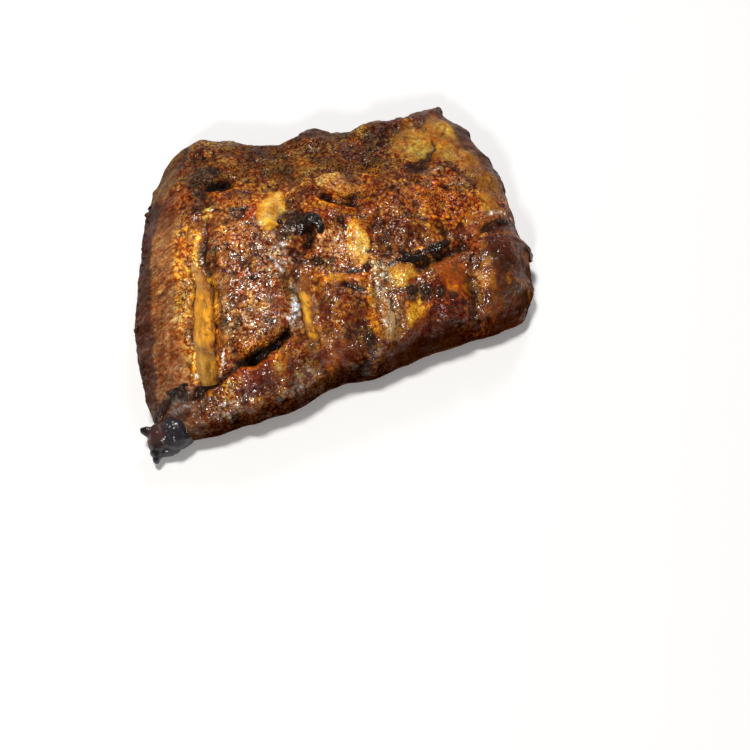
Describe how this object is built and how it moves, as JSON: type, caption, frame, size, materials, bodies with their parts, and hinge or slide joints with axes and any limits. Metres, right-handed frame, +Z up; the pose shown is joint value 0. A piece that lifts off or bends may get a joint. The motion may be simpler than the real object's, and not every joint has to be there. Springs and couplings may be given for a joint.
{
  "type": "rack of ribs",
  "caption": "Cooked rack of ribs lying as a low arch, with charred crust, torn flaps of meat and rib bones that lie bare on top and show at the back edge.",
  "frame": {"origin": "under the middle of the rack's bounding box, on the surface it rests on", "axes": "+X across the ribs to the thin end with the smooth lobe, +Y along the ribs to the back edge with the fat corner, +Z up out of the arched top"},
  "size_m": [0.1562, 0.1432, 0.0366],
  "materials": {
    "meat": "browned and charred meat crust, wet with glaze",
    "bone": "smooth roasted bone, amber and glossy"
  },
  "bodies": {
    "root": {"meat": "meat", "rib_bone_1": "bone", "rib_bone_2": "bone", "rib_bone_3": "bone", "rib_bone_4": "bone"}
  },
  "joints": []
}
